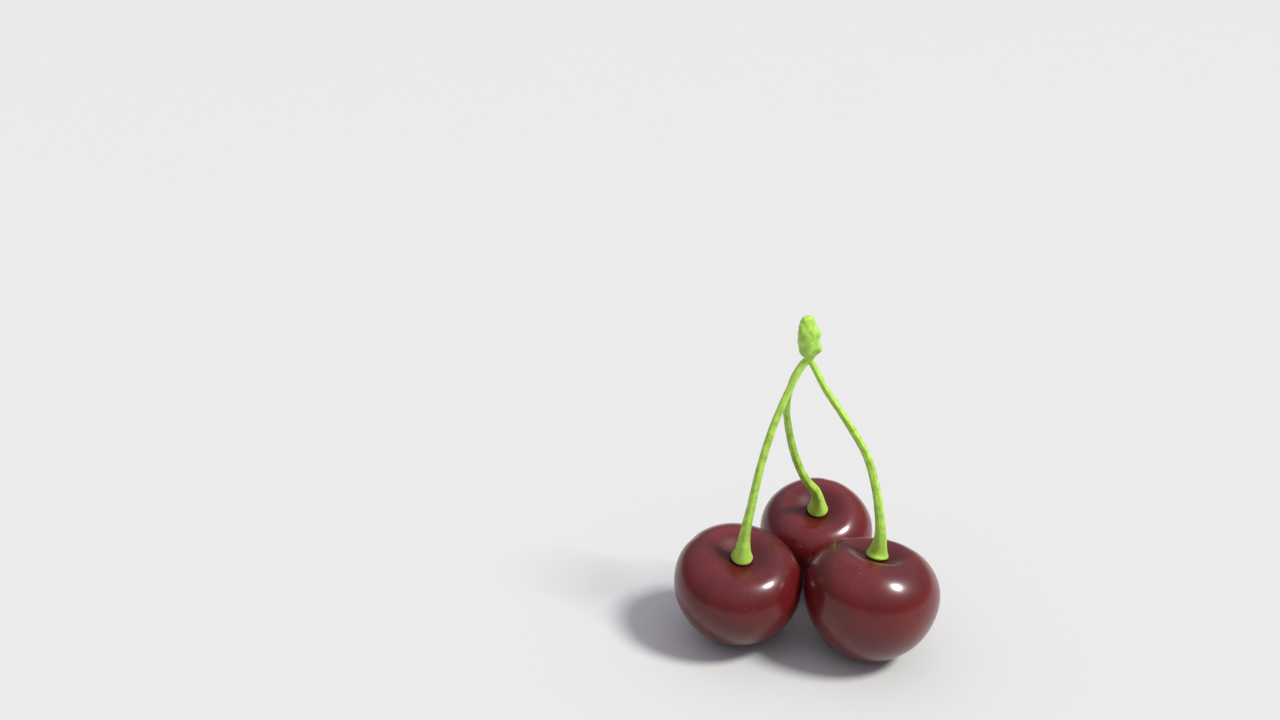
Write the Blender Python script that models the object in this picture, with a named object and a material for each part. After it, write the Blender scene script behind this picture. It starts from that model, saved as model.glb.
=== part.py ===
"""Three ripe sweet cherries on green stalks that grow from one spur knob, standing on their own fruit.

Lengths are in metres, with +Z up and +Y away from the front. The origin is on the ground, under the middle of the
bounding box. Each fruit is a turned body with a deep dimple round its stalk. It leans the way its stalk pulls it, and
is pressed flat where it rests. Each stalk runs from its fruit's dimple up to a short stub of the knob.
"""

import math
from typing import NamedTuple

import bmesh
import bpy
from mathutils import Euler, Matrix, Vector

MM = 0.001
GAP = 0.3 * MM  # clear space between neighbouring pieces

# The fruit's outline: an egg that is broad at the stalk end, with a dimple pushed into it. Lengths are in units of
# the fruit's radius, and angles are turned from the stalk end (0) to the blossom end (pi).
HALF_HEIGHT = 0.937
TAPER = 0.142  # how much broader the stalk half is than the blossom half
SQUARENESS = 0.056  # how far both shoulders are filled out
DIMPLE_DEPTH = 0.315
DIMPLE_ANGLE = 0.343  # the turn over which the dimple fades
FRUIT_RINGS = 26
FRUIT_SEGMENTS = 36
FLAT_DEPTH = 0.24 * MM  # how much of the fruit's bottom the ground presses flat

# The stalk is thinnest at the knob, thickens slowly downwards and flares where it meets the fruit.
STALK_TOP_RADIUS = 0.64 * MM
STALK_LOW_RADIUS = 0.93 * MM
FLARE_RADIUS = 2.25 * MM
FLARE_LENGTH = 3.2 * MM  # height over which the flare fades by a factor of e
FOOT_HEIGHT = 0.75 * MM  # depth of the domed foot under the flare
FOOT_GAP = 0.45 * MM  # clear space under the foot's middle, which leaves about GAP at its rim
FOOT_STEPS = 3
STALK_STEP = 1.4 * MM
STALK_BEVEL = 3

# The knob: where the stalks meet, how much of each belongs to the knob, and its lobes as (middle, radii).
NECK = Vector((-0.8, -2.0, 61.3)) * MM
STUB_LENGTH = 3.6 * MM
STUB_BEADS = 12
KNOB_VOXEL = 0.44 * MM
KNOB_SMOOTHING = 4
KNOB_LOBES = (
    ((-0.80, -2.00, 61.70), (1.25, 1.25, 1.50)),  # neck
    ((-0.95, -2.05, 63.60), (1.85, 1.80, 2.20)),  # lower body
    ((-1.25, -2.00, 65.60), (2.15, 2.05, 3.50)),  # main body
    ((-1.55, -1.90, 68.10), (1.60, 1.60, 2.10)),  # crown
    ((-0.10, -2.30, 66.40), (1.20, 1.40, 1.50)),  # upper bud on the right
    ((0.15, -2.10, 63.40), (1.40, 1.50, 1.40)),  # lower bud on the right
    ((-1.30, -0.40, 64.70), (1.40, 1.05, 1.80)),  # bud at the back
    ((-2.40, -2.60, 66.20), (1.05, 1.00, 1.80)),  # ridge on the left
)

SKIN_RED = (0.135, 0.022, 0.022, 1.0)
STALK_GREEN = (0.330, 0.500, 0.075, 1.0)
KNOB_GREEN = (0.400, 0.620, 0.110, 1.0)


class Cherry(NamedTuple):
    """One fruit and the way its stalk takes."""

    radius: float
    tallness: float  # this fruit's height over the outline's
    middle: tuple  # x and y, in mm
    lean: tuple  # degrees that the stalk end leans towards +X and towards +Y
    route: tuple  # points of the stalk between fruit and neck, in mm


CHERRIES = {
    "left": Cherry(
        radius=13.3 * MM,
        tallness=0.93,
        middle=(-13.55, -6.4),
        lean=(3.3, -14.8),
        route=(
            (-12.6, -9.4, 26.6),
            (-11.5, -9.2, 32.8),
            (-10.0, -7.9, 40.1),
            (-7.8, -5.9, 47.6),
            (-4.7, -3.7, 55.0),
            (-2.6, -2.6, 59.0),
        ),
    ),
    "right": Cherry(
        radius=13.6 * MM,
        tallness=0.98,
        middle=(13.0, -12.05),
        lean=(5.9, 9.0),
        route=(
            (14.2, -10.9, 26.5),
            (13.65, -10.3, 31.6),
            (12.55, -9.2, 37.2),
            (10.65, -7.5, 42.9),
            (6.85, -5.5, 49.1),
            (2.65, -3.6, 55.1),
            (0.55, -2.6, 58.9),
        ),
    ),
    "back": Cherry(
        radius=12.4 * MM,
        tallness=1.0,
        middle=(5.5, 13.7),
        lean=(-3.3, -19.9),
        route=(
            (4.0, 8.7, 25.2),
            (1.5, 7.75, 28.9),
            (-1.1, 6.0, 35.0),
            (-3.0, 4.0, 42.0),
            (-4.1, 2.1, 49.0),
            (-3.5, 0.3, 55.2),
            (-2.2, -1.2, 59.2),
        ),
    ),
}


def material(name, colour, roughness):
    """A plain Principled surface."""
    made = bpy.data.materials.new(name)
    made.use_nodes = True
    shader = made.node_tree.nodes["Principled BSDF"]
    shader.inputs["Base Color"].default_value = colour
    shader.inputs["Roughness"].default_value = roughness
    shader.inputs["Metallic"].default_value = 0.0
    return made


def girth(turn):
    """Distance of the skin from the fruit's axis at a turn, before it is scaled to the fruit's radius."""
    return math.sin(turn) * (1 + TAPER * math.cos(turn) + SQUARENESS * math.cos(turn) ** 2)


def skin_height(turn):
    """Height of the skin along the fruit's axis at a turn, in fruit radii."""
    return HALF_HEIGHT * math.cos(turn) - DIMPLE_DEPTH * math.exp(-((turn / DIMPLE_ANGLE) ** 2))


def outline(cherry):
    """(distance from axis, height) points from the dimple's bottom over the lip to the blossom end."""
    turns = [math.pi * step / FRUIT_RINGS for step in range(FRUIT_RINGS + 1)]
    across = cherry.radius / max(girth(turn) for turn in turns)
    along = cherry.radius * cherry.tallness
    return [(girth(turn) * across, skin_height(turn) * along) for turn in turns]


def fruit_turn(cherry):
    """The rotation that leans a fruit's axis."""
    towards_x, towards_y = cherry.lean
    return Euler((-math.radians(towards_y), math.radians(towards_x), 0.0))


def fruit_middle(cherry):
    """Where the middle of the fruit's widest ring stands, so that the ground presses FLAT_DEPTH off its bottom."""
    upright = (fruit_turn(cherry).to_matrix() @ Vector((0, 0, 1))).z
    sideways = math.sqrt(1 - upright**2)
    lowest = min(upright * height - sideways * ring for ring, height in outline(cherry))
    x, y = cherry.middle
    return Vector((x * MM, y * MM, -lowest - FLAT_DEPTH))


def make_fruit(name, cherry, skin):
    """The outline spun about the fruit's axis, leaned over, and cut level where it rests."""
    bm = bmesh.new()
    rim = [bm.verts.new((ring, 0, height)) for ring, height in outline(cherry)]
    rim += [bm.edges.new(pair) for pair in zip(rim, rim[1:])]
    bmesh.ops.spin(bm, geom=rim, cent=(0, 0, 0), axis=(0, 0, 1), angle=math.tau, steps=FRUIT_SEGMENTS)
    bmesh.ops.remove_doubles(bm, verts=bm.verts, dist=0.01 * MM)
    place = Matrix.LocRotScale(fruit_middle(cherry), fruit_turn(cherry), None)
    ground = place.inverted()
    bmesh.ops.bisect_plane(
        bm,
        geom=bm.verts[:] + bm.edges[:] + bm.faces[:],
        plane_co=ground.translation,
        plane_no=ground.to_3x3() @ Vector((0, 0, 1)),
        clear_inner=True,
    )
    bmesh.ops.holes_fill(bm, edges=bm.edges[:], sides=0)
    bmesh.ops.recalc_face_normals(bm, faces=bm.faces[:])
    mesh = bpy.data.meshes.new(name)
    bm.to_mesh(mesh)
    bm.free()
    mesh.shade_smooth()
    mesh.set_sharp_from_angle(angle=math.radians(40))
    mesh.materials.append(skin)
    fruit = bpy.data.objects.new(name, mesh)
    fruit.matrix_world = place
    return fruit


def smooth_route(points, axis):
    """Points every STALK_STEP or so along a smooth curve through the given ones, which sets off along axis."""
    run = (points[1] - points[0]).length
    points = [points[1] - 2 * run * axis, *points, 2 * points[-1] - points[-2]]
    route = []
    for before, start, end, after in zip(points, points[1:], points[2:], points[3:]):
        count = max(1, round((end - start).length / STALK_STEP))
        pull_in = (end - before) / 2
        pull_out = (after - start) / 2
        for step in range(count):
            t = step / count
            place = start * (2 * t**3 - 3 * t**2 + 1) + end * (3 * t**2 - 2 * t**3)
            route.append(place + pull_in * (t**3 - 2 * t**2 + t) + pull_out * (t**3 - t**2))
    return [*route, points[-2]]


def lengths_along(route):
    """The distance from the route's start to each of its points."""
    total = [0.0]
    for start, end in zip(route, route[1:]):
        total.append(total[-1] + (end - start).length)
    return total


def cherry_route(cherry):
    """The stalk's middle line, from the flare's rim in the fruit's dimple to the neck."""
    axis = fruit_turn(cherry).to_matrix() @ Vector((0, 0, 1))
    rim = skin_height(0) * cherry.radius * cherry.tallness + FOOT_GAP + FOOT_HEIGHT
    foot = fruit_middle(cherry) + axis * rim
    return smooth_route([foot, *(Vector(point) * MM for point in cherry.route), NECK], axis)


def stalk_radius(along, whole):
    """Radius of the stalk at a distance from its foot, on a route of the given whole length."""
    body = STALK_LOW_RADIUS + (STALK_TOP_RADIUS - STALK_LOW_RADIUS) * along / whole
    return body + (FLARE_RADIUS - STALK_LOW_RADIUS) * math.exp(-along / FLARE_LENGTH)


def make_stalk(name, cherry, green):
    """A round tube along the route, with a domed foot that follows the dimple and a flat end at the stub."""
    route = cherry_route(cherry)
    along = lengths_along(route)
    down = (route[0] - route[1]).normalized()
    rings = []
    for step in range(FOOT_STEPS, 0, -1):
        share = step / (FOOT_STEPS + 0.5)
        rings.append((route[0] + down * FOOT_HEIGHT * share, FLARE_RADIUS * math.sqrt(1 - share)))
    end = along[-1] - STUB_LENGTH - GAP
    for point, next_point, start, stop in zip(route, route[1:], along, along[1:]):
        if start < end:
            rings.append((point, stalk_radius(start, along[-1])))
        if start < end <= stop:
            tip = point.lerp(next_point, (end - start) / (stop - start))
            rings.append((tip, stalk_radius(end, along[-1])))
    curve = bpy.data.curves.new(name, "CURVE")
    curve.dimensions = "3D"
    curve.bevel_depth = MM
    curve.bevel_resolution = STALK_BEVEL
    curve.use_fill_caps = True
    spline = curve.splines.new("POLY")
    spline.points.add(len(rings) - 1)
    for point, (place, radius) in zip(spline.points, rings):
        point.co = (*(place - route[0]), 1.0)
        point.radius = radius / MM
    curve.materials.append(green)
    stalk = bpy.data.objects.new(name, curve)
    stalk.location = route[0]
    return stalk


def add_lobe(bm, middle, radii):
    """One ellipsoid."""
    bmesh.ops.create_icosphere(bm, subdivisions=3, radius=1.0, matrix=Matrix.LocRotScale(middle, None, radii))


def make_knob(name, green):
    """The lobes and the three stubs, fused into one smooth body."""
    bm = bmesh.new()
    for middle, radii in KNOB_LOBES:
        add_lobe(bm, Vector(middle) * MM - NECK, Vector(radii) * MM)
    for cherry in CHERRIES.values():
        route = cherry_route(cherry)
        along = lengths_along(route)
        for bead in range(STUB_BEADS):
            back = (STUB_LENGTH - STALK_TOP_RADIUS) * bead / (STUB_BEADS - 1)
            after = next(n for n, length in enumerate(along) if length >= along[-1] - back)
            share = (along[-1] - back - along[after - 1]) / (along[after] - along[after - 1])
            place = route[after - 1].lerp(route[after], share)
            add_lobe(bm, place - NECK, Vector((1, 1, 1)) * STALK_TOP_RADIUS * 1.1)
    mesh = bpy.data.meshes.new(name)
    bm.to_mesh(mesh)
    bm.free()
    mesh.materials.append(green)
    knob = bpy.data.objects.new(name, mesh)
    knob.location = NECK
    fuse = knob.modifiers.new("fuse lobes", "REMESH")
    fuse.mode = "VOXEL"
    fuse.voxel_size = KNOB_VOXEL
    fuse.use_smooth_shade = True
    soften = knob.modifiers.new("soften creases", "SMOOTH")
    soften.factor = 0.5
    soften.iterations = KNOB_SMOOTHING
    return knob


def main():
    for old in list(bpy.data.objects):
        bpy.data.objects.remove(old)
    trio = bpy.data.objects.new("cherry_trio", None)
    pieces = []
    for side, cherry in CHERRIES.items():
        skin = material("skin_" + side, SKIN_RED, 0.3)
        pieces.append(make_fruit("cherry_" + side, cherry, skin))
        green = material("stalk_green_" + side, STALK_GREEN, 0.5)
        pieces.append(make_stalk("stalk_" + side, cherry, green))
    pieces.append(make_knob("spur_knob", material("knob_green", KNOB_GREEN, 0.5)))
    bpy.context.scene.collection.objects.link(trio)
    for piece in pieces:
        bpy.context.scene.collection.objects.link(piece)
        piece.parent = trio


main()
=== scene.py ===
"""Looks for a cluster of sweet cherries: three dark red fruits on green stalks from one lumpy spur knob.

Lengths are in metres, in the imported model's frame: +Z up, and +Y away from the front. Each piece has a fine
mesh in place of its plain solid. The fruits are turned bodies with a dimple round the stalk, a faint suture
down one side and skin that isn't quite even. The stalks are swept along their routes, and the knob is fused
from lobes.
"""

import math
from typing import NamedTuple

import bmesh
import bpy
import numpy as np
from mathutils import Euler, Matrix, Vector, noise

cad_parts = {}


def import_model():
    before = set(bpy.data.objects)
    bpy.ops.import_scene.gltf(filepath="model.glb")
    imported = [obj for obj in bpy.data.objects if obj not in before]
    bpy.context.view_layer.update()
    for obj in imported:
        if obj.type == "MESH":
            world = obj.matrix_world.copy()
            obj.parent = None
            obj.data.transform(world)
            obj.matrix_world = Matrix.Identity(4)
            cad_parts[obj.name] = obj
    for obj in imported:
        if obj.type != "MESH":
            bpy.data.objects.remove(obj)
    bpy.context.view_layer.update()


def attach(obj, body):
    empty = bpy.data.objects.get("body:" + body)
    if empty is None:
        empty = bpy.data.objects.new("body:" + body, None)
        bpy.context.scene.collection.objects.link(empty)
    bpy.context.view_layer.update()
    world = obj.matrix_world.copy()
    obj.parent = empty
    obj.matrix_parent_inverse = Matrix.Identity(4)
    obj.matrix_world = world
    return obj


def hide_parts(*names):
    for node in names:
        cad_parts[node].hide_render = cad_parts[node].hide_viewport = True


MM = 0.001

# The fruit's outline, in units of its radius. Turns run from the stalk end (0) to the blossom end (pi).
HALF_HEIGHT = 0.937
TAPER = 0.142
SQUARENESS = 0.056
DIMPLE_DEPTH = 0.315
DIMPLE_ANGLE = 0.343
OUTLINE_STEPS = 26  # the plain solid's rings, from which its widest girth and lowest point are taken
FLAT_DEPTH = 0.24 * MM  # how much of the fruit's bottom the ground presses flat

# What the skin adds to the outline.
SKIN_RINGS = 170
SKIN_SEGMENTS = 240
SUTURE_DEPTH = 0.16 * MM
SUTURE_WIDTH = 0.11  # radians of turn about the axis
SUTURE_FADE = 0.7  # the power of the turn's sine with which the suture dies out at both ends
SHOULDER_RISE = 0.16 * MM  # half of how far the lip's two high sides stand over its two low ones
SHOULDER_TURN = 0.75
SHOULDER_WIDTH = 0.42
SWELL_DEPTH = 0.14 * MM
SWELL_SIZE = 8.5 * MM
SWELL_LEVEL = 0.35  # the middle of the swell's share, and its swing either way
SWELL_SWING = 0.65
SCAR_DEPTH = 0.22 * MM
SCAR_ANGLE = 0.055
BOSS_ANGLE = 0.19  # the turn over which the skin's rise under the stalk fades

# The stalks.
STALK_TOP_RADIUS = 0.64 * MM
STALK_LOW_RADIUS = 0.93 * MM
FLARE_RADIUS = 2.25 * MM
FLARE_LENGTH = 3.2 * MM
FOOT_HEIGHT = 0.75 * MM
SKIN_RISE = 0.75 * MM  # how far the skin rises in the dimple to meet the stalk
FOOT_SINK = 0.12 * MM  # how far the fine foot is grown into the skin
ROUTE_STEP = 0.7 * MM
RING_SPACING = 0.22 * MM
STALK_SIDES = 40
RIDGE_COUNT = 5.0
RIDGE_TWIST = 130.0  # radians of turn to the metre
RIDGE_HEIGHT = 0.045 * MM
STALK_LUMP_HEIGHT = 0.10 * MM
STALK_LUMP_DETAIL = 2.0
LUMP_SCALE = 420.0  # lumps to the metre, on the stalks and the knob
SMOOTH_FOOT = (0.6 * MM, 2.5 * MM)  # the stretch of stalk over which ridges and lumps set in

# The knob.
NECK = Vector((-0.8, -2.0, 61.3)) * MM
STUB_LENGTH = 3.6 * MM
STUB_GIRTH = 0.85  # the stub's radius at its low end, in the stalk's top radii
STUB_SWELL = 0.35  # what that gains on the way up to the neck
LOBE_SUBDIVISIONS = 4
KNOB_VOXEL = 0.13 * MM
KNOB_SMOOTHING = 12
SCALE_SIZE = 3.0 * MM
SCALE_STRETCH = (1.0, 1.0, 0.55)  # under 1 draws the bud scales out upwards
CREASE_DEPTH = 0.11 * MM
CREASE_WIDTH = 0.20  # in scale sizes
KNOB_LUMP_HEIGHT = 0.66 * MM
KNOB_LUMP_DETAIL = 1.5
KNOB_LUMP_LEVEL = 0.47  # the noise at which the surface stays where it is
PUCKER_HEIGHTS = (NECK.z - 0.4 * MM, NECK.z + 1.8 * MM)  # below the first the stubs stay smooth
KNOB_LOBES = (
    ((-0.85, -2.00, 62.00), (1.15, 1.15, 1.35)),  # neck
    ((-1.00, -2.05, 63.50), (2.10, 1.95, 2.25)),  # lower body
    ((-1.25, -2.00, 65.60), (2.15, 2.05, 3.50)),  # main body
    ((-1.55, -1.90, 68.10), (1.60, 1.60, 2.10)),  # crown
    ((-0.10, -2.30, 66.40), (1.20, 1.40, 1.50)),  # upper bud on the right
    ((0.15, -2.10, 63.40), (1.40, 1.50, 1.40)),  # lower bud on the right
    ((-1.30, -0.40, 64.70), (1.40, 1.05, 1.80)),  # bud at the back
    ((-2.35, -2.60, 66.70), (1.15, 1.05, 2.40)),  # ridge on the left
)


class Cherry(NamedTuple):
    """One fruit and the way its stalk takes."""

    radius: float
    tallness: float  # this fruit's height over the outline's
    middle: tuple  # x and y, in mm
    lean: tuple  # degrees that the stalk end leans towards +X and towards +Y
    suture: float  # where the suture runs, in radians about the axis from +X
    route: tuple  # points of the stalk between fruit and neck, in mm


CHERRIES = {
    "left": Cherry(
        radius=13.3 * MM,
        tallness=0.93,
        middle=(-13.55, -6.4),
        lean=(3.3, -14.8),
        suture=2.5,
        route=(
            (-12.6, -9.4, 26.6),
            (-11.5, -9.2, 32.8),
            (-10.0, -7.9, 40.1),
            (-7.8, -5.9, 47.6),
            (-4.7, -3.7, 55.0),
            (-2.6, -2.6, 59.0),
        ),
    ),
    "right": Cherry(
        radius=13.6 * MM,
        tallness=0.98,
        middle=(13.0, -12.05),
        lean=(5.9, 9.0),
        suture=0.5,
        route=(
            (14.2, -10.9, 26.5),
            (13.65, -10.3, 31.6),
            (12.55, -9.2, 37.2),
            (10.65, -7.5, 42.9),
            (6.85, -5.5, 49.1),
            (2.65, -3.6, 55.1),
            (0.55, -2.6, 58.9),
        ),
    ),
    "back": Cherry(
        radius=12.4 * MM,
        tallness=1.0,
        middle=(5.5, 13.7),
        lean=(-3.3, -19.9),
        suture=1.2,
        route=(
            (4.0, 8.7, 25.2),
            (1.5, 7.75, 28.9),
            (-1.1, 6.0, 35.0),
            (-3.0, 4.0, 42.0),
            (-4.1, 2.1, 49.0),
            (-3.5, 0.3, 55.2),
            (-2.2, -1.2, 59.2),
        ),
    ),
}


# ---- Node trees, written as expressions ----


class Value:
    """The output of a node. Arithmetic on it adds Math nodes to its tree."""

    def __init__(self, tree, socket):
        self.tree = tree
        self.socket = socket

    def __add__(self, other):
        return self.tree.math("ADD", self, other)

    def __radd__(self, other):
        return self.tree.math("ADD", other, self)

    def __sub__(self, other):
        return self.tree.math("SUBTRACT", self, other)

    def __rsub__(self, other):
        return self.tree.math("SUBTRACT", other, self)

    def __mul__(self, other):
        return self.tree.math("MULTIPLY", self, other)

    def __rmul__(self, other):
        return self.tree.math("MULTIPLY", other, self)

    def __truediv__(self, other):
        return self.tree.math("DIVIDE", self, other)

    def __rtruediv__(self, other):
        return self.tree.math("DIVIDE", other, self)

    def __pow__(self, other):
        return self.tree.math("POWER", self, other)


class Tree:
    """A material's or a geometry's node tree, with one way to add any node to it."""

    def __init__(self, nodes):
        self.nodes = nodes

    def node(self, kind, settings=None, sockets=None, output=0):
        """A node of that type, with its settings made before its sockets are given values or links."""
        made = self.nodes.nodes.new(kind)
        for setting, value in (settings or {}).items():
            setattr(made, setting, value)
        for place, value in (sockets or {}).items():
            socket = made.inputs[place]
            if isinstance(value, Value):
                self.nodes.links.new(value.socket, socket)
            else:
                socket.default_value = value
        return Value(self, made.outputs[output])

    def math(self, operation, *numbers):
        return self.node("ShaderNodeMath", {"operation": operation}, dict(enumerate(numbers)))

    def noise(self, vector, scale, detail=3.0, roughness=0.5):
        sockets = {"Vector": vector, "Scale": scale, "Detail": detail, "Roughness": roughness}
        return self.node("ShaderNodeTexNoise", {}, sockets)

    def cells(self, vector, scale, feature="F1", output="Distance"):
        sockets = {"Vector": vector, "Scale": scale}
        return self.node("ShaderNodeTexVoronoi", {"feature": feature}, sockets, output)

    def ramp(self, value, low, high, start=0.0, end=1.0):
        """start up to low, end from high on, and a smooth way between."""
        sockets = {"Value": value, "From Min": low, "From Max": high, "To Min": start, "To Max": end}
        return self.node("ShaderNodeMapRange", {"interpolation_type": "SMOOTHSTEP"}, sockets)

    def mix(self, share, first, second):
        """A colour between two."""
        return self.node("ShaderNodeMix", {"data_type": "RGBA"}, {0: share, 6: first, 7: second}, output=2)

    def stretch(self, vector, factors):
        return self.node("ShaderNodeVectorMath", {"operation": "MULTIPLY"}, {0: vector, 1: factors})

    def attribute(self, name, output="Fac"):
        return self.node("ShaderNodeAttribute", {"attribute_name": name}, output=output)

    def bump(self, height, strength, distance):
        """A normal that follows the height."""
        sockets = {"Strength": strength, "Distance": distance, "Height": height}
        return self.node("ShaderNodeBump", {}, sockets)

    def store(self, shape, name, value, kind="FLOAT"):
        """The shape with the value kept on it as a named attribute."""
        sockets = {"Geometry": shape, "Name": name, "Value": value}
        return self.node("GeometryNodeStoreNamedAttribute", {"data_type": kind}, sockets)

    def recall(self, name):
        """A value kept under that name."""
        return self.node("GeometryNodeInputNamedAttribute", {"data_type": "FLOAT"}, {"Name": name})

    def pushed_out(self, shape, distance):
        """The shape with each point moved that far along its normal."""
        outward = self.node("GeometryNodeInputNormal")
        offset = self.node("ShaderNodeVectorMath", {"operation": "SCALE"}, {0: outward, 3: distance})
        return self.node("GeometryNodeSetPosition", {}, {"Geometry": shape, "Offset": offset})


def new_material(name):
    """(material, its tree, its Principled shader), ready for what varies."""
    made = bpy.data.materials.new(name)
    made.use_nodes = True
    return made, Tree(made.node_tree), made.node_tree.nodes["Principled BSDF"]


def feed(tree, shader, **sockets):
    """Links values to the shader's sockets, or sets constants on them. An underscore stands for a space."""
    for name, value in sockets.items():
        socket = shader.inputs[name.replace("_", " ")]
        if isinstance(value, Value):
            tree.nodes.links.new(value.socket, socket)
        else:
            socket.default_value = value


# ---- Finishes ----

RIPE_RED = (0.112, 0.0078, 0.0074, 1.0)
DEEP_RED = (0.062, 0.0044, 0.0048, 1.0)
WARM_RED = (0.160, 0.0130, 0.0100, 1.0)
# painted shade: the dimple's darker red stands in for the shade that falls in it
DIMPLE_SHADE_RED = (0.052, 0.0055, 0.0042, 1.0)
SPECK_TAN = (0.300, 0.100, 0.066, 1.0)
SCAR_BROWN = (0.085, 0.050, 0.026, 1.0)

STALK_GREEN = (0.285, 0.480, 0.040, 1.0)
STALK_LIME = (0.430, 0.700, 0.085, 1.0)
STALK_SHADE = (0.110, 0.200, 0.014, 1.0)
KNOB_LIME = (0.430, 0.740, 0.095, 1.0)
# painted shade for the creases between the knob's bud scales
CREASE_SHADE_GREEN = (0.170, 0.300, 0.040, 1.0)
FOOT_BROWN = (0.200, 0.190, 0.050, 1.0)

# How fine the patterns are, in features to the metre.
SKIN_CLOUDS = 95.0
SKIN_BLUSHES = 55.0
SKIN_SPECKS = 780.0
SKIN_PORES = 420.0
SKIN_GRAIN = 1500.0
STALK_PATCHES = 620.0
STALK_GRAIN = 1300.0
KNOB_PATCHES = 480.0
KNOB_GRAIN = 1100.0
FLECKS = 2600.0

# Patterns that run along a piece: how fine they are twice across it and once along it.
STREAKS = (9.0, 9.0, 0.9)
FINE_STREAKS = (34.0, 34.0, 3.0)
FIBRES = (7.0, 7.0, 420.0)

# How deep the finest relief is, where it is shaded and not in the mesh.
SKIN_RELIEF = 0.035 * MM
STALK_RELIEF = 0.06 * MM
KNOB_RELIEF = 0.08 * MM


def cherry_skin():
    """Thin glossy skin: dark red, streaked from the stalk, with faint tan specks, a brown scar and painted
    shade in the dimple.
    """
    made, tree, shader = new_material("cherry_skin")
    here = tree.node("ShaderNodeTexCoord", output="Object")
    turn = tree.attribute("turn")
    meridian = tree.attribute("meridian", "Vector")

    cloud = tree.ramp(tree.noise(here, SKIN_CLOUDS, 4.0), 0.35, 0.68)
    streak = tree.noise(tree.stretch(meridian, STREAKS), 1.0, 5.0, 0.6)
    fine_streak = tree.noise(tree.stretch(meridian, FINE_STREAKS), 1.0, 3.0, 0.6)
    warmth = tree.ramp(tree.noise(here, SKIN_BLUSHES, 2.0), 0.42, 0.72)
    speck_size = tree.cells(here, SKIN_SPECKS, output="Color")
    speck = tree.ramp(tree.cells(here, SKIN_SPECKS), 0.16, 0.07) * tree.ramp(speck_size, 0.45, 0.60)
    # Painted shade: the dimple round the stalk is painted darker, for the shade that falls in it. The same
    # mask also roughens the skin and thins the coat there.
    hollow = tree.ramp(turn, 0.52, 0.20)
    scar = tree.ramp(turn, math.pi - 0.14, math.pi - 0.05)

    colour = tree.mix(cloud * 0.75, RIPE_RED, DEEP_RED)
    colour = tree.mix(warmth * 0.45, colour, WARM_RED)
    colour = tree.mix(tree.ramp(streak, 0.50, 0.78) * 0.45, colour, DEEP_RED)
    colour = tree.mix(tree.ramp(fine_streak, 0.52, 0.75) * 0.22, colour, WARM_RED)
    # painted shade in the dimple
    colour = tree.mix(hollow * 0.7, colour, DIMPLE_SHADE_RED)
    colour = tree.mix(speck * 0.30, colour, SPECK_TAN)
    colour = tree.mix(scar, colour, SCAR_BROWN)

    pores = tree.noise(here, SKIN_PORES, 3.0)
    grain = tree.noise(here, SKIN_GRAIN, 2.0)
    relief = pores * 0.6 + grain * 0.25 + speck * 0.35 + fine_streak * 0.5
    bump = tree.bump(relief, 0.30, SKIN_RELIEF)
    rough = 0.29 + cloud * 0.05 + hollow * 0.10 + speck * 0.12 + scar * 0.30
    feed(tree, shader, Base_Color=colour, Roughness=rough, Normal=bump, Coat_Weight=0.50 - hollow * 0.34)
    feed(tree, shader, Coat_Roughness=0.17, Specular_IOR_Level=0.20)
    return made


def stalk_skin():
    """Satin green stalk, mottled in fine flecks along its fibres, with painted light on the flare (lighter
    lime above the foot), browner at the foot.
    """
    made, tree, shader = new_material("stalk_skin")
    here = tree.node("ShaderNodeTexCoord", output="Object")
    along = tree.attribute("along")
    fibre_place = tree.attribute("fibre", "Vector")

    patch = tree.ramp(tree.noise(here, STALK_PATCHES, 4.0), 0.36, 0.66)
    fleck = tree.noise(here, FLECKS, 3.0, 0.65)
    fibre = tree.noise(tree.stretch(fibre_place, FIBRES), 1.0, 4.0, 0.6)
    foot = tree.ramp(along, 0.7 * MM, 0.1 * MM)
    top = tree.ramp(along, 30 * MM, 42 * MM)

    colour = tree.mix(patch, STALK_GREEN, STALK_LIME)
    colour = tree.mix(tree.ramp(fibre, 0.48, 0.74) * 0.55, colour, STALK_SHADE)
    colour = tree.mix(tree.ramp(fleck, 0.52, 0.70) * 0.40, colour, STALK_SHADE)
    colour = tree.mix(top * 0.45, colour, KNOB_LIME)
    # Painted light: the lowest 8 mm of the stalk, its flare, is painted lighter lime, fading out upwards, for
    # the key light that falls on the flare.
    colour = tree.mix(tree.ramp(along, 8.0 * MM, 2.0 * MM) * 0.45, colour, STALK_LIME)
    colour = tree.mix(foot * 0.35, colour, FOOT_BROWN)

    relief = tree.noise(here, STALK_GRAIN, 3.0) * 0.5 + fibre * 0.8 + fleck * 0.3
    bump = tree.bump(relief, 0.55, STALK_RELIEF)
    feed(tree, shader, Base_Color=colour, Roughness=0.40 + fleck * 0.18, Normal=bump)
    feed(tree, shader, Specular_IOR_Level=0.5, Sheen_Weight=0.08)
    return made


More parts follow.
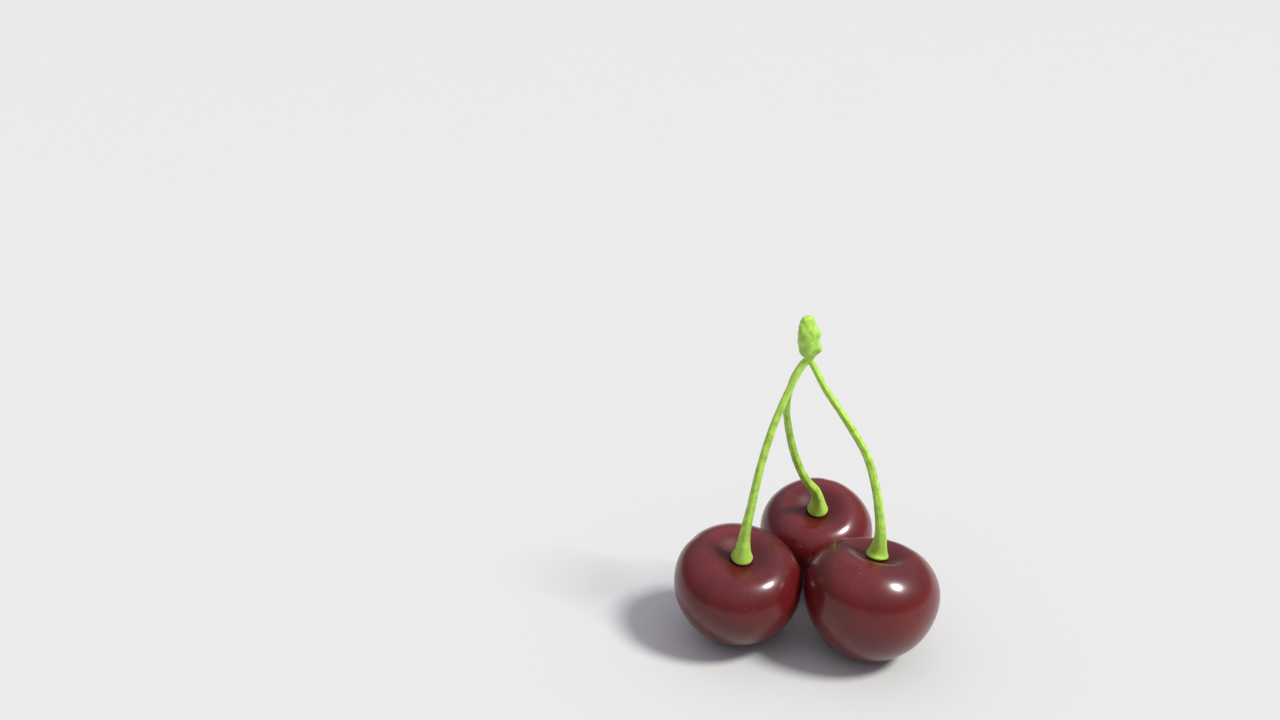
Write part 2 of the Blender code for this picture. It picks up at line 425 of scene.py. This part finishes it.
def knob_skin():
    """Satin lime green, with painted shade in the creases between the bud scales, and fine flecks."""
    made, tree, shader = new_material("knob_skin")
    here = tree.node("ShaderNodeTexCoord", output="Object")
    height = tree.node("ShaderNodeSeparateXYZ", {}, {"Vector": here}, output="Z")
    crease = tree.attribute("crease")

    patch = tree.ramp(tree.noise(here, KNOB_PATCHES, 4.0), 0.38, 0.64)
    fleck = tree.noise(here, FLECKS, 3.0, 0.65)
    stub = tree.ramp(height, NECK.z + 0.8 * MM, NECK.z - 2.2 * MM)

    colour = tree.mix(patch * 0.75, KNOB_LIME, STALK_GREEN)
    # Painted shade: the creases between the bud scales are painted darker, for the shade that falls in them.
    colour = tree.mix(tree.ramp(crease, 0.25, 0.95) * 0.28, colour, CREASE_SHADE_GREEN)
    colour = tree.mix(tree.ramp(fleck, 0.54, 0.70) * 0.30, colour, STALK_SHADE)
    colour = tree.mix(stub * 0.5, colour, STALK_GREEN)

    relief = tree.noise(here, KNOB_GRAIN, 4.0) * 0.7 + fleck * 0.3
    bump = tree.bump(relief, 0.60, KNOB_RELIEF)
    feed(tree, shader, Base_Color=colour, Roughness=0.38 + fleck * 0.16, Normal=bump)
    feed(tree, shader, Specular_IOR_Level=0.5, Sheen_Weight=0.08)
    return made


# ---- Fruit ----


def girth(turn):
    """Distance of the skin from the fruit's axis at a turn, before it is scaled to the fruit's radius."""
    return np.sin(turn) * (1 + TAPER * np.cos(turn) + SQUARENESS * np.cos(turn) ** 2)


def skin_height(turn):
    """Height of the skin along the fruit's axis at a turn, in fruit radii."""
    return HALF_HEIGHT * np.cos(turn) - DIMPLE_DEPTH * np.exp(-((turn / DIMPLE_ANGLE) ** 2))


def outline(cherry, turn):
    """(distances from the axis, heights) of the skin at the given turns."""
    widest = girth(np.linspace(0, math.pi, OUTLINE_STEPS + 1)).max()
    return girth(turn) * cherry.radius / widest, skin_height(turn) * cherry.radius * cherry.tallness


def fruit_place(cherry):
    """Where the fruit's own axes stand: leaned over, and FLAT_DEPTH into the ground at its lowest point."""
    towards_x, towards_y = cherry.lean
    lean = Euler((-math.radians(towards_y), math.radians(towards_x), 0.0))
    upright = (lean.to_matrix() @ Vector((0, 0, 1))).z
    ring, height = outline(cherry, np.linspace(0, math.pi, OUTLINE_STEPS + 1))
    lowest = (upright * height - math.sqrt(1 - upright**2) * ring).min()
    x, y = cherry.middle
    return Matrix.LocRotScale(Vector((x * MM, y * MM, -lowest - FLAT_DEPTH)), lean, None)


def skin_points(cherry, turn, around):
    """Points of the skin in the fruit's own axes, for matching grids of turns and angles round the axis."""
    ring, height = outline(cherry, turn)
    from_suture = np.arctan2(np.sin(around - cherry.suture), np.cos(around - cherry.suture))
    groove = np.exp(-((from_suture / SUTURE_WIDTH) ** 2)) * np.sin(turn) ** SUTURE_FADE
    shoulder = np.exp(-(((turn - SHOULDER_TURN) / SHOULDER_WIDTH) ** 2))
    ring = ring - SUTURE_DEPTH * groove
    height = height + SHOULDER_RISE * shoulder * (np.cos(2 * from_suture) - 1)
    height = height + SCAR_DEPTH * np.exp(-(((math.pi - turn) / SCAR_ANGLE) ** 2))
    height = height + SKIN_RISE * np.exp(-((turn / BOSS_ANGLE) ** 2))
    return np.stack([ring * np.cos(around), ring * np.sin(around), height], axis=-1)


def swell(point):
    """How far the skin sinks at a point, as a share from about -0.3 to 1."""
    return SWELL_LEVEL + SWELL_SWING * noise.noise(Vector(point) / SWELL_SIZE)


def make_fruit(name, cherry, skin):
    """Rings of skin points between two poles, leaned over and pressed flat where the fruit rests."""
    turn, around = np.meshgrid(
        np.linspace(0, math.pi, SKIN_RINGS + 1)[1:-1],
        np.linspace(0, math.tau, SKIN_SEGMENTS, endpoint=False),
        indexing="ij",
    )
    turn = np.concatenate([[0.0], turn.ravel(), [math.pi]])
    around = np.concatenate([[0.0], around.ravel(), [0.0]])
    points = skin_points(cherry, turn, around)
    sink = np.array([swell(point + cherry.radius) for point in points])
    points *= (1 - sink * SWELL_DEPTH / cherry.radius)[:, None]
    place = np.array(fruit_place(cherry))
    points = points @ place[:3, :3].T + place[:3, 3]
    points[:, 2] = points[:, 2].clip(0.0)

    last = len(points) - 1
    faces = []
    for spoke in range(SKIN_SEGMENTS):
        beside = (spoke + 1) % SKIN_SEGMENTS
        faces.append((0, 1 + spoke, 1 + beside))
        for ring in range(SKIN_RINGS - 2):
            upper = 1 + ring * SKIN_SEGMENTS
            lower = upper + SKIN_SEGMENTS
            faces.append((upper + spoke, lower + spoke, lower + beside, upper + beside))
        faces.append((last, last - SKIN_SEGMENTS + beside, last - SKIN_SEGMENTS + spoke))
    mesh = bpy.data.meshes.new(name)
    mesh.from_pydata(points.tolist(), [], faces)
    mesh.attributes.new("turn", "FLOAT", "POINT").data.foreach_set("value", turn)
    meridian = np.stack([np.cos(around), np.sin(around), turn], axis=-1)
    mesh.attributes.new("meridian", "FLOAT_VECTOR", "POINT").data.foreach_set("vector", meridian.ravel())
    mesh.shade_smooth()
    mesh.materials.append(skin)
    return link(bpy.data.objects.new(name, mesh))


def link(piece):
    bpy.context.scene.collection.objects.link(piece)
    return piece


# ---- Stalks ----


def smooth_route(points, axis):
    """Points about ROUTE_STEP apart on a smooth curve through the given ones, setting off along axis."""
    run = (points[1] - points[0]).length
    points = [points[1] - 2 * run * axis, *points, 2 * points[-1] - points[-2]]
    route = []
    for before, start, end, after in zip(points, points[1:], points[2:], points[3:]):
        count = max(1, round((end - start).length / ROUTE_STEP))
        pull_in = (end - before) / 2
        pull_out = (after - start) / 2
        for step in range(count):
            t = step / count
            place = start * (2 * t**3 - 3 * t**2 + 1) + end * (3 * t**2 - 2 * t**3)
            route.append(place + pull_in * (t**3 - 2 * t**2 + t) + pull_out * (t**3 - t**2))
    return [*route, points[-2]]


def stalk_route(cherry):
    """The stalk's middle line, from under its foot in the fruit's dimple to the neck."""
    place = fruit_place(cherry)
    axis = place.to_3x3() @ Vector((0, 0, 1))
    dimple = place.translation + axis * float(skin_height(0.0)) * cherry.radius * cherry.tallness
    rim = dimple + axis * (SKIN_RISE + FOOT_HEIGHT)
    route = smooth_route([rim, *(Vector(point) * MM for point in cherry.route), NECK], axis)
    return [dimple + axis * (SKIN_RISE - FOOT_SINK), *route]


def new_group(name, sizes):
    """(geometry nodes that take a shape, those sizes and a skin, their tree, those inputs by name)."""
    group = bpy.data.node_groups.new(name, "GeometryNodeTree")
    group.interface.new_socket("Geometry", in_out="INPUT", socket_type="NodeSocketGeometry")
    for label, size in sizes.items():
        socket = group.interface.new_socket(label, in_out="INPUT", socket_type="NodeSocketFloat")
        socket.default_value = size
    group.interface.new_socket("Skin", in_out="INPUT", socket_type="NodeSocketMaterial")
    group.interface.new_socket("Geometry", in_out="OUTPUT", socket_type="NodeSocketGeometry")
    tree = Tree(group)
    outputs = group.nodes.new("NodeGroupInput").outputs
    return group, tree, {label: Value(tree, outputs[label]) for label in ("Geometry", *sizes, "Skin")}


def stalk_tree():
    """Geometry nodes that sweep a stalk along a route: tapered, flared to a domed foot, faintly ridged."""
    sizes = {
        "Low radius": STALK_LOW_RADIUS,
        "Top radius": STALK_TOP_RADIUS,
        "Flare radius": FLARE_RADIUS,
        "Flare length": FLARE_LENGTH,
        "Foot dome": FOOT_HEIGHT + FOOT_SINK,
        "Ring spacing": RING_SPACING,
        "Ridge height": RIDGE_HEIGHT,
        "Lump height": STALK_LUMP_HEIGHT,
        "Seed": 0.0,
    }
    group, tree, given = new_group("stalk sweep", sizes)

    rings = {"Curve": given["Geometry"], "Length": given["Ring spacing"]}
    route = tree.node("GeometryNodeResampleCurve", {"mode": "LENGTH"}, rings)
    along = tree.node("GeometryNodeSplineParameter", output="Length")
    share = tree.node("GeometryNodeSplineParameter", output="Factor")
    body = given["Low radius"] + (given["Top radius"] - given["Low radius"]) * share
    over_foot = tree.math("MAXIMUM", along - given["Foot dome"], 0.0)
    fade = tree.math("EXPONENT", over_foot / given["Flare length"] * -1.0)
    flare = (given["Flare radius"] - given["Low radius"]) * fade
    rise = tree.math("MINIMUM", along / given["Foot dome"], 1.0)
    dome = (1.0 - (1.0 - rise) ** 2.0) ** 0.5
    radius = (body + flare) * dome
    route = tree.store(route, "along", along)

    circle = tree.node("GeometryNodeCurvePrimitiveCircle", {}, {"Resolution": STALK_SIDES, "Radius": 1.0})
    bearing = tree.node("GeometryNodeSplineParameter", output="Factor") * math.tau
    circle = tree.store(circle, "bearing", bearing)
    sweep = {"Curve": route, "Profile Curve": circle, "Scale": radius, "Fill Caps": True}
    tube = tree.node("GeometryNodeCurveToMesh", {}, sweep)

    here = tree.node("GeometryNodeInputPosition")
    turn = tree.recall("bearing")
    height = tree.recall("along")
    lumps = {"Vector": here, "W": given["Seed"], "Scale": LUMP_SCALE, "Detail": STALK_LUMP_DETAIL}
    lump = tree.node("ShaderNodeTexNoise", {"noise_dimensions": "4D"}, lumps)
    twist = turn * RIDGE_COUNT + height * RIDGE_TWIST + given["Seed"]
    ridge = tree.math("SINE", twist) * given["Ridge height"]
    push = (ridge + (lump - 0.5) * given["Lump height"]) * tree.ramp(height, *SMOOTH_FOOT)
    tube = tree.pushed_out(tube, push)

    fibre = {"X": tree.math("COSINE", turn), "Y": tree.math("SINE", turn), "Z": height}
    fibre = tree.node("ShaderNodeCombineXYZ", {}, fibre)
    tube = tree.store(tube, "fibre", fibre, "FLOAT_VECTOR")
    finish_tree(tree, tube, given["Skin"])
    return group


def finish_tree(tree, shape, skin):
    """Smooth shading, real geometry and the finish, then the group's output."""
    shape = tree.node("GeometryNodeSetShadeSmooth", {}, {"Geometry": shape})
    shape = tree.node("GeometryNodeRealizeInstances", {}, {"Geometry": shape})
    shape = tree.node("GeometryNodeSetMaterial", {}, {"Geometry": shape, "Material": skin})
    made = tree.nodes.nodes.new("NodeGroupOutput")
    tree.nodes.links.new(shape.socket, made.inputs["Geometry"])


def grown(name, source, group, **inputs):
    """A plain mesh of what the tree makes of the source object, which is then removed."""
    link(source)
    grow = source.modifiers.new("grow", "NODES")
    grow.node_group = group
    for item in group.interface.items_tree:
        key = item.name.lower().replace(" ", "_")
        if item.in_out == "INPUT" and key in inputs:
            grow[item.identifier] = inputs[key]
    graph = bpy.context.evaluated_depsgraph_get()
    mesh = bpy.data.meshes.new_from_object(source.evaluated_get(graph))
    mesh.name = name
    bpy.data.objects.remove(source)
    return link(bpy.data.objects.new(name, mesh))


def make_stalk(name, cherry, group, skin, seed):
    """The route as a curve, swept by the stalk tree."""
    route = stalk_route(cherry)
    curve = bpy.data.curves.new(name, "CURVE")
    curve.dimensions = "3D"
    spline = curve.splines.new("POLY")
    spline.points.add(len(route) - 1)
    for point, place in zip(spline.points, route):
        point.co = (*place, 1.0)
    return grown(name, bpy.data.objects.new("route", curve), group, seed=seed, skin=skin)


# ---- Knob ----


def add_lobe(bm, middle, radii):
    """One ellipsoid."""
    place = Matrix.LocRotScale(middle, None, radii)
    bmesh.ops.create_icosphere(bm, subdivisions=LOBE_SUBDIVISIONS, radius=1.0, matrix=place)


def stub_places(cherry):
    """Points down the top STUB_LENGTH of the stalk, with their share of the way down."""
    route = stalk_route(cherry)
    left = STUB_LENGTH
    for start, end in zip(route[::-1], route[-2::-1]):
        yield start, 1 - left / STUB_LENGTH
        left -= (end - start).length
        if left < 0:
            return


def knob_tree():
    """Geometry nodes that pucker the fused lobes into bud scales, and keep where the creases are."""
    sizes = {"Scale size": SCALE_SIZE, "Crease depth": CREASE_DEPTH, "Lump height": KNOB_LUMP_HEIGHT}
    group, tree, given = new_group("knob scales", sizes)

    here = tree.node("GeometryNodeInputPosition")
    height = tree.node("ShaderNodeSeparateXYZ", {}, {"Vector": here}, output="Z")
    drawn_out = tree.stretch(here, SCALE_STRETCH)
    edge = tree.cells(drawn_out, 1.0 / given["Scale size"], feature="DISTANCE_TO_EDGE")
    crease = tree.ramp(edge, CREASE_WIDTH, 0.0)
    lump = tree.noise(here, LUMP_SCALE, KNOB_LUMP_DETAIL)
    body = tree.ramp(height, *PUCKER_HEIGHTS)
    lumps = (lump - KNOB_LUMP_LEVEL) * given["Lump height"]
    push = (lumps - crease * given["Crease depth"]) * body
    # The crease mask is kept for the painted shade in the knob's creases.
    shape = tree.store(given["Geometry"], "crease", crease * body)
    shape = tree.pushed_out(shape, push)
    finish_tree(tree, shape, given["Skin"])
    return group


def make_knob(name, skin):
    """The lobes and the stalks' tops, fused into one smooth body and puckered by the knob tree."""
    bm = bmesh.new()
    for middle, radii in KNOB_LOBES:
        add_lobe(bm, Vector(middle) * MM, Vector(radii) * MM)
    for cherry in CHERRIES.values():
        for place, share in stub_places(cherry):
            girth_here = STUB_GIRTH + STUB_SWELL * (1 - share)
            add_lobe(bm, place, Vector((1, 1, 1)) * STALK_TOP_RADIUS * girth_here)
    mesh = bpy.data.meshes.new(name)
    bm.to_mesh(mesh)
    bm.free()
    source = bpy.data.objects.new("lobes", mesh)
    fuse = source.modifiers.new("fuse lobes", "REMESH")
    fuse.mode = "VOXEL"
    fuse.voxel_size = KNOB_VOXEL
    soften = source.modifiers.new("soften creases", "SMOOTH")
    soften.factor = 0.5
    soften.iterations = KNOB_SMOOTHING
    return grown(name, source, knob_tree(), skin=skin)


# ---- Studio ----

CAMERA_PLACE = (-33.7 * MM, -212.2 * MM, 152.54 * MM)
CAMERA_TILT = math.radians(66.42)  # from straight down
CAMERA_LENS = 33.19
CAMERA_NEAR = 0.005
KEY_TOWARDS = Vector((0.58, -0.21, 0.79))  # from the cluster to the key light
KEY_WIDTH = math.radians(14)
KEY_STRENGTH = 3.7
HORIZON_COLOUR = (0.22, 0.216, 0.224, 1.0)
ZENITH_COLOUR = (0.84, 0.78, 0.95, 1.0)
SKY_HEIGHTS = (0.12, 0.85)  # sines of the heights between which the sky changes colour
FLOOR_COLOUR = (0.522, 0.534, 0.500, 1.0)
FLOOR_SIZE = 40.0


def make_studio():
    """A pale floor, a soft key from the right, a sky that is brightest overhead, and the camera."""
    scene = bpy.context.scene
    scene.view_settings.view_transform = "Standard"
    bpy.ops.mesh.primitive_plane_add(size=FLOOR_SIZE)
    floor = bpy.context.object
    floor.name = "floor"
    pale, tree, shader = new_material("floor_paint")
    feed(tree, shader, Base_Color=FLOOR_COLOUR, Roughness=0.9, Specular_IOR_Level=0.1)
    floor.data.materials.append(pale)

    scene.world = bpy.data.worlds.new("pale sky")
    scene.world.use_nodes = True
    sky = Tree(scene.world.node_tree)
    towards = sky.node("ShaderNodeTexCoord", output="Generated")
    height = sky.node("ShaderNodeSeparateXYZ", {}, {"Vector": towards}, output="Z")
    colour = sky.mix(sky.ramp(height, *SKY_HEIGHTS), HORIZON_COLOUR, ZENITH_COLOUR)
    feed(sky, scene.world.node_tree.nodes["Background"], Color=colour)

    key = bpy.data.lights.new("key", "SUN")
    key.energy = KEY_STRENGTH
    key.angle = KEY_WIDTH
    lamp = link(bpy.data.objects.new("key", key))
    lamp.rotation_euler = KEY_TOWARDS.to_track_quat("Z", "Y").to_euler()

    lens = bpy.data.cameras.new("camera")
    lens.lens = CAMERA_LENS
    lens.clip_start = CAMERA_NEAR
    camera = link(bpy.data.objects.new("camera", lens))
    camera.location = CAMERA_PLACE
    camera.rotation_euler = (CAMERA_TILT, 0.0, 0.0)
    scene.camera = camera


def fit(piece, node):
    """The piece stands for a node of the frame and rides on its body."""
    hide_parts(node)
    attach(piece, "root")


def main():
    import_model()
    make_studio()
    skin = cherry_skin()
    green = stalk_skin()
    sweep = stalk_tree()
    for seed, (side, cherry) in enumerate(CHERRIES.items(), start=1):
        fruit = make_fruit("ripe_fruit_" + side, cherry, skin)
        fit(fruit, "cherry_" + side)
        stalk = make_stalk("green_stalk_" + side, cherry, sweep, green, float(seed))
        fit(stalk, "stalk_" + side)
    fit(make_knob("lumpy_knob", knob_skin()), "spur_knob")


main()
